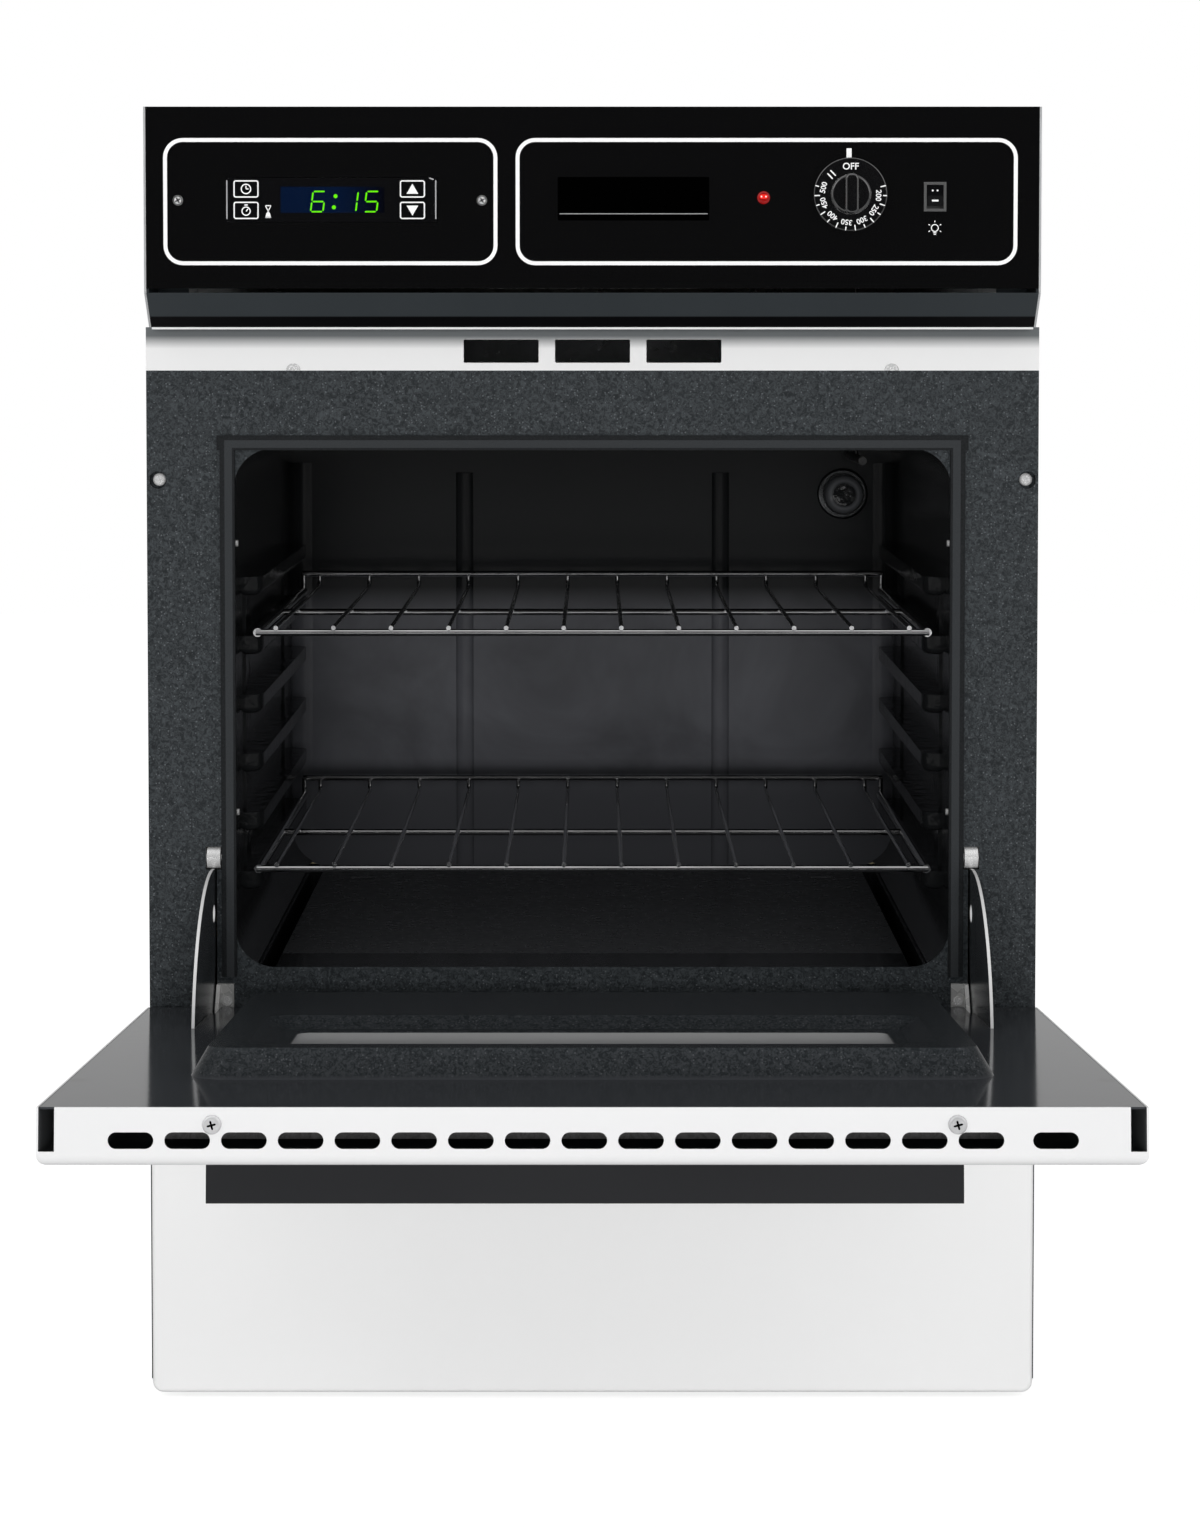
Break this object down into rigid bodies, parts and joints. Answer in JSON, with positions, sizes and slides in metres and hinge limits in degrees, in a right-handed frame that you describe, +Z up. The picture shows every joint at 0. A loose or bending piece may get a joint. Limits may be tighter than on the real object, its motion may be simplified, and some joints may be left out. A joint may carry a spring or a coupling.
{
  "type": "built-in gas oven",
  "caption": "Built-in gas oven with a drop-down door, sliding wire racks, a broiler drawer below and a glass control panel with clock, dial and light switch.",
  "frame": {"origin": "on the centre line, in the plane of the cabinet's face, at the underside of the base", "axes": "+X to the right seen from the front, the front faces -Y, +Z up"},
  "size_m": [0.606, 1.0665, 0.8686],
  "materials": {
    "casing": "zinc-coated sheet",
    "frame_enamel": "speckled porcelain enamel",
    "cavity_enamel": "glossy dark porcelain enamel",
    "white_enamel": "gloss white enamel",
    "panel_glass": "black backed glass",
    "housing_black": "gloss black paint",
    "trim": "satin",
    "black_plastic": "moulded gloss",
    "display": "dark blue filter",
    "indicator": "red lens",
    "window_glass": "clear tempered",
    "smoked_glass": "dark tempered",
    "lamp_glass": "clear",
    "chrome_wire": "bright plated wire",
    "hinge_steel": "zinc-plated",
    "bright_screw": "bright plated",
    "gasket": "woven heat-resistant strip",
    "handle": "satin black",
    "insulation": "mineral wool",
    "burner_steel": "aluminised",
    "brass": "machined",
    "cast_body": "die cast",
    "pipe": "black pipe",
    "ceramic": "ceramic",
    "pan_enamel": "speckled porcelain enamel",
    "grid": "bright plated sheet"
  },
  "bodies": {
    "oven_body": {"side_panel_left": "casing", "side_panel_right": "casing", "base_pan": "casing", "top_panel": "casing", "back_panel": "casing", "front_frame": "frame_enamel", "vent_panel": "white_enamel", "door_gasket": "gasket", "mounting_screws": "bright_screw", "body_screws": "bright_screw", "cavity_side_left": "cavity_enamel", "cavity_side_right": "cavity_enamel", "cavity_top": "cavity_enamel", "cavity_back": "cavity_enamel", "rack_guides": "cavity_enamel", "oven_bottom": "cavity_enamel", "burner_box": "cavity_enamel", "burner_tube": "burner_steel", "flame_baffle": "burner_steel", "igniter": "ceramic", "gas_valve": "brass", "pressure_regulator": "cast_body", "gas_pipe": "pipe", "junction_box": "casing", "thermostat": "casing", "lamp_holder": "hinge_steel", "lamp_bulb": "lamp_glass", "insulation": "insulation", "flue_duct": "casing", "hinge_brackets": "hinge_steel", "hinge_rollers": "bright_screw", "control_glass": "panel_glass", "control_housing": "housing_black", "control_trims": "trim", "clock_module": "black_plastic", "display_window": "display", "indicator_lamp": "indicator", "rocker_bezel": "black_plastic", "drawer_rails": "casing"},
    "oven_door": {"door_skin": "white_enamel", "door_liner": "frame_enamel", "window_inner_glass": "window_glass", "window_outer_glass": "smoked_glass", "door_insulation": "insulation", "door_handle": "handle", "door_screws": "bright_screw", "hinge_arms": "hinge_steel"},
    "upper_rack": {"rack_upper": "chrome_wire"},
    "lower_rack": {"rack_lower": "chrome_wire"},
    "broiler_drawer": {"drawer_front": "white_enamel", "drawer_box": "casing", "broiler_pan": "pan_enamel", "broiler_grid": "grid", "drawer_handle": "handle"},
    "dial": {"thermostat_knob": "black_plastic"},
    "rocker": {"light_rocker": "black_plastic"},
    "clock_key": {"clock_button": "black_plastic"},
    "timer_key": {"timer_button": "black_plastic"},
    "up_key": {"up_button": "black_plastic"},
    "down_key": {"down_button": "black_plastic"}
  },
  "joints": [
    {"name": "oven_door_hinge", "type": "hinge", "parent": "oven_body", "child": "oven_door", "pos_m": [0, -0.028, 0.248], "axis": [1, 0, 0], "range_deg": [-85.1, 0]},
    {"name": "upper_rack_slide", "type": "slide", "parent": "oven_body", "child": "upper_rack", "axis": [0, -1, 0], "range_m": [0, 0.26]},
    {"name": "lower_rack_slide", "type": "slide", "parent": "oven_body", "child": "lower_rack", "axis": [0, -1, 0], "range_m": [0, 0.26]},
    {"name": "broiler_drawer_slide", "type": "slide", "parent": "oven_body", "child": "broiler_drawer", "axis": [0, -1, 0], "range_m": [0, 0.35]},
    {"name": "thermostat_dial", "type": "hinge", "parent": "oven_body", "child": "dial", "pos_m": [0.1712, -0.052, 0.8103], "axis": [0, -1, 0], "range_deg": [0, 316]},
    {"name": "light_switch", "type": "hinge", "parent": "oven_body", "child": "rocker", "pos_m": [0.2276, -0.047, 0.8089], "axis": [1, 0, 0], "range_deg": [0, 14]},
    {"name": "clock_push", "type": "slide", "parent": "oven_body", "child": "clock_key", "axis": [0, 1, 0], "range_m": [0, 0.001], "stiffness_N_per_m": 300},
    {"name": "timer_push", "type": "slide", "parent": "oven_body", "child": "timer_key", "axis": [0, 1, 0], "range_m": [0, 0.001], "stiffness_N_per_m": 300},
    {"name": "up_push", "type": "slide", "parent": "oven_body", "child": "up_key", "axis": [0, 1, 0], "range_m": [0, 0.001], "stiffness_N_per_m": 300},
    {"name": "down_push", "type": "slide", "parent": "oven_body", "child": "down_key", "axis": [0, 1, 0], "range_m": [0, 0.001], "stiffness_N_per_m": 300}
  ]
}
